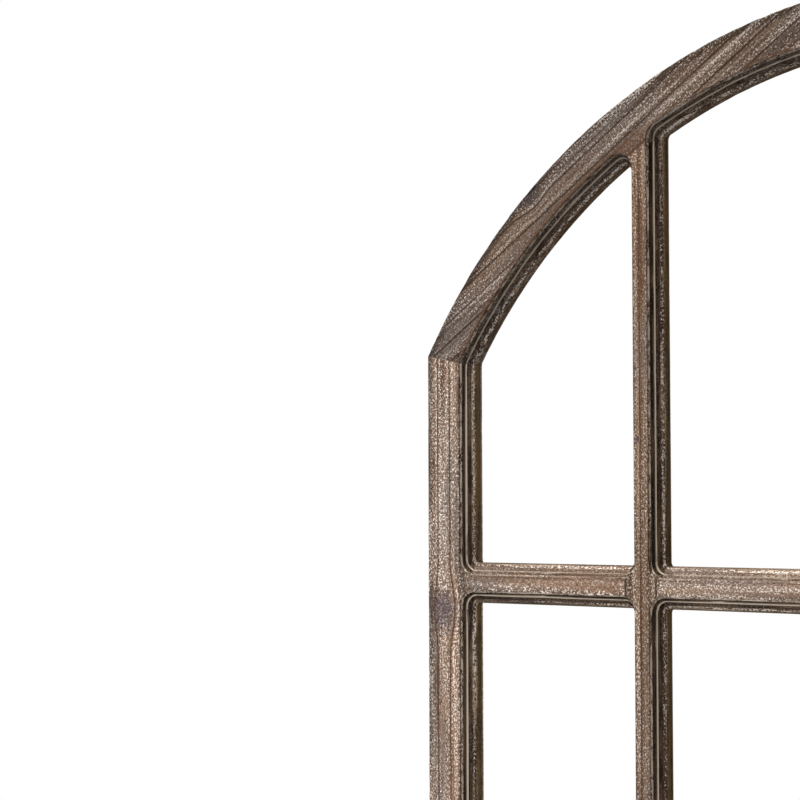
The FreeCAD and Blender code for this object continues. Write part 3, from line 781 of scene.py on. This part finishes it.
def buildWoodMaterial(kind, values):
    material = bpy.data.materials.new("weathered" + kind.capitalize())
    material.use_nodes = True
    tree = material.node_tree
    tree.nodes.clear()
    grain = addNode(tree, "ShaderNodeAttribute", attribute_name="grain").outputs["Vector"]
    place = tree.nodes.new("ShaderNodeTexCoord").outputs["Object"]
    normal = tree.nodes.new("ShaderNodeNewGeometry").outputs["Normal"]
    zone = addNode(tree, "ShaderNodeGroup", node_tree=zones)
    tree.links.new(place, zone.inputs["Place"])
    tree.links.new(normal, zone.inputs["Normal"])
    core = 0.0
    for x, z, reach in knots[kind]:
        knot = addNode(tree, "ShaderNodeGroup", node_tree=knotGroup)
        tree.links.new(grain, knot.inputs["Grain"])
        tree.links.new(place, knot.inputs["Place"])
        knot.inputs["Spot"].default_value = (x, 0, z)
        knot.inputs["Across"].default_value = acrossGrain[kind]
        knot.inputs["Reach"].default_value = reach
        grain = knot.outputs["Grain"]
        core = math2(tree, "MAXIMUM", knot.outputs["Core"], core)
    group = addNode(tree, "ShaderNodeGroup", node_tree=brushedFir)
    tree.links.new(grain, group.inputs["Grain"])
    tree.links.new(core, group.inputs["Knot"])
    for label in ("Depth", "Rear", "Upward"):
        tree.links.new(zone.outputs[label], group.inputs[label])
    # Painted shade along the member's edges, broken into patches
    tree.links.new(zone.outputs[edgeShadeZone[kind]], group.inputs["EdgeShade"])
    # The bars' top sides get painted light
    if kind == "bar":
        tree.links.new(zone.outputs["BarLitTop"], group.inputs["LitTopside"])
    if kind == "arch":
        tree.links.new(zone.outputs["Amber"], group.inputs["Amber"])
    for label, value in values.items():
        group.inputs[label].default_value = value
    bump = addNode(tree, "ShaderNodeBump", {"Height": group.outputs["Height"],
                                            "Strength": finish["bumpStrength"],
                                            "Distance": finish["bumpDistance"]})
    shader = addNode(tree, "ShaderNodeBsdfPrincipled", {
        "Base Color": group.outputs["Color"], "Roughness": group.outputs["Roughness"],
        "Normal": bump.outputs[0], "Specular IOR Level": finish["specular"]})
    addNode(tree, "ShaderNodeOutputMaterial", {"Surface": shader.outputs[0]})
    return material


# Relief: soft wood brushed out between the grain lines, dents, and arrises and beads worn and chipped
relief = {
    "Brushing": 0.00014,       # metres, all inwards, so the member stays inside its CAD shape
    "Groove": 0.00014,
    "Dents": 0.00016,
    "Wear": 0.00045,
}


def buildReliefTree():
    tree, given, result = newGeometryTree("brushedRelief", relief)
    grain = addNode(tree, "GeometryNodeInputNamedAttribute", {"Name": "grain"}, data_type="FLOAT_VECTOR")
    grain = grain.outputs[0]
    place = splitVector(tree, tree.nodes.new("GeometryNodeInputPosition").outputs[0])
    depth = math2(tree, "SUBTRACT", place["Y"], frontFace)
    soft = graded(tree, grainNoise(tree, grain, "soft"), "brushing")
    dent = graded(tree, grainNoise(tree, grain, "dent"), "dent", smooth=True)
    chip = graded(tree, grainNoise(tree, grain, "chip"), "chip", smooth=True)
    inward = times(tree, soft, given["Brushing"])
    inward = math2(tree, "ADD", inward, times(tree, grainLines(tree, grain), given["Groove"]))
    inward = math2(tree, "ADD", inward, times(tree, dent, given["Dents"]))
    worn = times(tree, chip, between(tree, depth, *bands["wornFront"]), given["Wear"])
    inward = times(tree, math2(tree, "ADD", inward, worn), rescale(tree, depth, *bands["relief"]))
    normal = tree.nodes.new("GeometryNodeInputNormal").outputs[0]
    move = addNode(tree, "ShaderNodeVectorMath", {0: normal, "Scale": times(tree, inward, -1.0)},
                   operation="SCALE").outputs[0]
    finishGeometry(tree, shifted(tree, given["Geometry"], move), given["Material"], result)
    return tree


woodMaterials = {kind: buildWoodMaterial(kind, values) for kind, values in members.items()}
reliefTree = buildReliefTree()
draw = random.Random(wood["seed"])
faceCount = 0
for name, climb in boards.items():
    start = woodCopy(name, climb, draw)
    kind = name.split("_")[0]
    piece = bakeNodes(name + "_wood", start, reliefTree, dict(relief, Material=woodMaterials[kind]))
    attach(piece, "frame")
    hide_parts(name)
    faceCount += len(piece.data.polygons)
print("wood members:", len(boards), "with", faceCount, "faces")


# Other finishes: two colours mixed by a fine and a broad speckle, with its roughness and bump

speckle = {
    "fine": {"detail": 4.0, "roughness": 0.65, "share": 0.78},
    "broad": {"detail": 3.0, "roughness": 0.55, "share": 0.22},
    "worn": (0.36, 0.64),
    "bumpStrength": 0.6,
}
surfaces = {
    "hardboard": {"name": "brownHardboard", "Dark": (0.115, 0.060, 0.033, 1),
                  "Light": (0.250, 0.140, 0.078, 1), "Speck": 900, "Stretch": 0.55, "Patch": 16,
                  "roughness": (0.50, 0.72), "bump": 0.00015, "metallic": 0.0, "specular": 0.35},
    "joinery_wood": {"name": "beech", "Dark": (0.400, 0.255, 0.150, 1), "Light": (0.560, 0.390, 0.250, 1),
                     "Speck": 700, "Stretch": 0.08, "Patch": 40, "roughness": (0.50, 0.65), "bump": 0.00008,
                     "metallic": 0.0, "specular": 0.4},
    "plated_steel": {"name": "zincPlate", "Dark": (0.240, 0.245, 0.240, 1), "Light": (0.450, 0.450, 0.430, 1),
                     "Speck": 1600, "Stretch": 0.12, "Patch": 130, "roughness": (0.26, 0.50), "bump": 0.00003,
                     "metallic": 1.0, "specular": 0.5},
    "rubber": {"name": "blackRubber", "Dark": (0.014, 0.014, 0.014, 1), "Light": (0.034, 0.033, 0.032, 1),
               "Speck": 2200, "Stretch": 1.0, "Patch": 160, "roughness": (0.60, 0.82), "bump": 0.00005,
               "metallic": 0.0, "specular": 0.4},
}


def speckleNoise(tree, place, scale, values):
    return addNode(tree, "ShaderNodeTexNoise", {"Vector": place, "Scale": scale, "Detail": values["detail"],
                                                "Roughness": values["roughness"]}).outputs[0]


def buildSurfaceGroup():
    tree, given, result = newGroup(
        "speckled", [("Place", "Vector", None), ("Speck", "Float", 900.0), ("Stretch", "Float", 1.0),
                     ("Patch", "Float", 10.0), ("Dark", "Color", None), ("Light", "Color", None)],
        [("Color", "Color"), ("Height", "Float"), ("Wear", "Float")])
    squeeze = joinVector(tree, X=given["Stretch"], Y=1.0, Z=1.0)
    squeezed = vector2(tree, "MULTIPLY", given["Place"], squeeze)
    fine = speckleNoise(tree, squeezed, given["Speck"], speckle["fine"])
    broad = speckleNoise(tree, given["Place"], given["Patch"], speckle["broad"])
    both = math2(tree, "ADD", times(tree, fine, speckle["fine"]["share"]),
                 times(tree, broad, speckle["broad"]["share"]))
    wear = rescale(tree, both, *speckle["worn"])
    tree.links.new(blendColor(tree, wear, given["Dark"], given["Light"]), result["Color"])
    tree.links.new(fine, result["Height"])
    tree.links.new(wear, result["Wear"])
    return tree


speckled = buildSurfaceGroup()


def buildSurface(values):
    material = bpy.data.materials.new(values["name"])
    material.use_nodes = True
    tree = material.node_tree
    shader = tree.nodes["Principled BSDF"]
    place = tree.nodes.new("ShaderNodeTexCoord").outputs["Object"]
    placed = addNode(tree, "ShaderNodeMapping", {"Vector": place}).outputs[0]
    group = addNode(tree, "ShaderNodeGroup", node_tree=speckled)
    tree.links.new(placed, group.inputs["Place"])
    for label in ("Speck", "Stretch", "Patch", "Dark", "Light"):
        group.inputs[label].default_value = values[label]
    rough = rescale(tree, group.outputs["Wear"], 0, 1, *values["roughness"])
    bump = addNode(tree, "ShaderNodeBump", {"Height": group.outputs["Height"],
                                            "Strength": speckle["bumpStrength"], "Distance": values["bump"]})
    tree.links.new(group.outputs["Color"], shader.inputs["Base Color"])
    tree.links.new(rough, shader.inputs["Roughness"])
    tree.links.new(bump.outputs[0], shader.inputs["Normal"])
    shader.inputs["Metallic"].default_value = values["metallic"]
    shader.inputs["Specular IOR Level"].default_value = values["specular"]
    return material


glass = {
    "silver": (1, 1, 1, 1),
    "cloudScale": 14.0,        # of the faint unevenness in the gloss
    "cloudDetail": 4.0,
    "cloudRoughness": (0.45, 0.75, 0.0, 0.02),
}


def buildMirror():
    material = bpy.data.materials.new("silveredGlass")
    material.use_nodes = True
    tree = material.node_tree
    shader = tree.nodes["Principled BSDF"]
    place = tree.nodes.new("ShaderNodeTexCoord").outputs["Object"]
    cloudy = addNode(tree, "ShaderNodeTexNoise", {"Vector": place, "Scale": glass["cloudScale"],
                                                  "Detail": glass["cloudDetail"]}).outputs[0]
    tree.links.new(rescale(tree, cloudy, *glass["cloudRoughness"]), shader.inputs["Roughness"])
    shader.inputs["Base Color"].default_value = glass["silver"]
    shader.inputs["Metallic"].default_value = 1.0
    return material


materials = {"mirror": buildMirror()}
materials.update({slot: buildSurface(values) for slot, values in surfaces.items()})
slots = {part["node"]: part["material_slot"] for part in frame["record"]["subparts"]}
for name, node in nodes.items():
    if slots[name] in materials:
        node.data.materials.clear()
        node.data.materials.append(materials[slots[name]])
print("finishes:", len(materials))


# Screws: pan heads with a cross recess, one tree for both sizes

screws = {
    "clip_screws": {"Radius": 0.0034, "Height": 0.0020, "Shank": 0.0016, "Length": 0.0120, "Seed": 3},
    "strap_screws": {"Radius": 0.0040, "Height": 0.0024, "Shank": 0.0020, "Length": 0.0160, "Seed": 8},
}
recess = {"Reach": 0.56, "Width": 0.24, "Sink": 0.62, "Rounding": 0.6}      # shares of the head's sizes
screwShape = {
    "headSides": 36,
    "headRings": 12,
    "pitSides": 16,
    "pitTop": 1.2,             # shares of the recess's width
    "pitFoot": 0.5,
    "shankSides": 20,
    "shankTip": 0.3,           # share of the shank's radius
    "sharpAngle": 35,
}


# The middle of each head's underside, one for each loose island of the CAD node
def screwSeats(name, height):
    bm = bmesh.new()
    bm.from_mesh(nodes[name].data)
    bmesh.ops.remove_doubles(bm, verts=bm.verts, dist=mergeReach)
    seats, unseen = [], set(bm.verts)
    while unseen:
        island, edge = set(), [unseen.pop()]
        while edge:
            vertex = edge.pop()
            island.add(vertex)
            for link in vertex.link_edges:
                other = link.other_vert(vertex)
                if other in unseen:
                    unseen.discard(other)
                    edge.append(other)
        xs, ys, zs = zip(*(tuple(vertex.co) for vertex in island))
        seats.append(((min(xs) + max(xs)) / 2, max(ys) - height, (min(zs) + max(zs)) / 2))
    bm.free()
    return sorted(seats)


def rotated(tree, instances, turn):
    return addNode(tree, "GeometryNodeRotateInstances", {"Instances": instances, "Rotation": turn}).outputs[0]


# A disc whose upper rim is rounded over, with its underside at 0
def screwHead(tree, given):
    radius, height = given["Radius"], given["Height"]
    disc = addNode(tree, "GeometryNodeMeshCylinder",
                   {"Vertices": screwShape["headSides"], "Side Segments": 1,
                    "Fill Segments": screwShape["headRings"], "Radius": radius, "Depth": height},
                   fill_type="TRIANGLE_FAN")
    place = tree.nodes.new("GeometryNodeInputPosition").outputs[0]
    out = vectorLength(tree, vector2(tree, "MULTIPLY", place, (1, 1, 0)))
    rounding = times(tree, height, given["Rounding"])
    past = math2(tree, "SUBTRACT", out, math2(tree, "SUBTRACT", radius, rounding))
    share = math2(tree, "DIVIDE", math2(tree, "MAXIMUM", past, 0.0), rounding, True)
    level = math2(tree, "SQRT", math2(tree, "SUBTRACT", 1.0, times(tree, share, share), True))
    upper = math2(tree, "GREATER_THAN", splitVector(tree, place)["Z"], 0.0)
    down = times(tree, math2(tree, "SUBTRACT", 1.0, level), rounding, upper, -1.0)
    move = joinVector(tree, Z=math2(tree, "ADD", down, times(tree, height, 0.5)))
    return shifted(tree, disc.outputs["Mesh"], move)


# Two crossed blocks and a pit in the middle, sunk from the head's top
def recessCutters(tree, given):
    width = times(tree, given["Radius"], given["Width"])
    reach = times(tree, given["Radius"], given["Reach"], 2.0)
    sink = times(tree, given["Height"], given["Sink"])
    tall = times(tree, sink, 2.0)
    cutters = []
    for size in ({"X": reach, "Y": width, "Z": tall}, {"X": width, "Y": reach, "Z": tall}):
        block = addNode(tree, "GeometryNodeMeshCube", {"Size": joinVector(tree, **size)})
        cutters.append(block.outputs["Mesh"])
    pit = addNode(tree, "GeometryNodeMeshCone", {"Vertices": screwShape["pitSides"], "Depth": tall,
                                                 "Radius Top": times(tree, width, screwShape["pitTop"]),
                                                 "Radius Bottom": times(tree, width, screwShape["pitFoot"])})
    cutters.append(shifted(tree, pit.outputs["Mesh"], joinVector(tree, Z=times(tree, sink, -1.0))))
    raised = joinVector(tree, Z=given["Height"])
    return [shifted(tree, cutter, raised) for cutter in cutters]


# The shank tapers away below the head, hidden in the wood
def screwShank(tree, given):
    tip = times(tree, given["Shank"], screwShape["shankTip"])
    shank = addNode(tree, "GeometryNodeMeshCone", {"Vertices": screwShape["shankSides"], "Radius Bottom": tip,
                                                   "Radius Top": given["Shank"], "Depth": given["Length"]})
    return shifted(tree, shank.outputs["Mesh"], joinVector(tree, Z=times(tree, given["Length"], -1.0)))


def buildScrewTree():
    labels = ("Radius", "Height", "Shank", "Length") + tuple(recess)
    tree, given, result = newGeometryTree("panScrews", labels, seeded=True)
    cut = addNode(tree, "GeometryNodeMeshBoolean", {"Mesh 1": screwHead(tree, given)},
                  operation="DIFFERENCE", solver="EXACT")
    for cutter in recessCutters(tree, given):
        tree.links.new(cutter, cut.inputs["Mesh 2"])
    whole = tree.nodes.new("GeometryNodeJoinGeometry")
    tree.links.new(cut.outputs["Mesh"], whole.inputs[0])
    tree.links.new(screwShank(tree, given), whole.inputs[0])
    turned = addNode(tree, "GeometryNodeInstanceOnPoints", {"Points": given["Geometry"],
                                                            "Instance": whole.outputs[0]}).outputs[0]
    facingBack = addNode(tree, "FunctionNodeEulerToRotation", {0: (-math.pi / 2, 0, 0)}).outputs[0]
    chance = addNode(tree, "FunctionNodeRandomValue", {"Seed": given["Seed"], 3: math.pi}, data_type="FLOAT")
    twist = joinVector(tree, Z=chance.outputs[1])
    turned = rotated(tree, rotated(tree, turned, facingBack), twist)
    finishGeometry(tree, turned, given["Material"], result)
    return tree


screwTree = buildScrewTree()
for name, values in screws.items():
    seats = screwSeats(name, values["Height"])
    start = bpy.data.meshes.new(name + "Seats")
    start.from_pydata(seats, [], [])
    inputs = dict(values, **recess, Material=materials["plated_steel"])
    piece = bakeNodes(name + "_steel", start, screwTree, inputs)
    bm = bmesh.new()
    bm.from_mesh(piece.data)
    shadeByAngle(bm, screwShape["sharpAngle"])
    bm.to_mesh(piece.data)
    bm.free()
    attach(piece, "frame")
    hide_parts(name)
    print(name, len(seats), "screws,", len(piece.data.polygons), "faces")
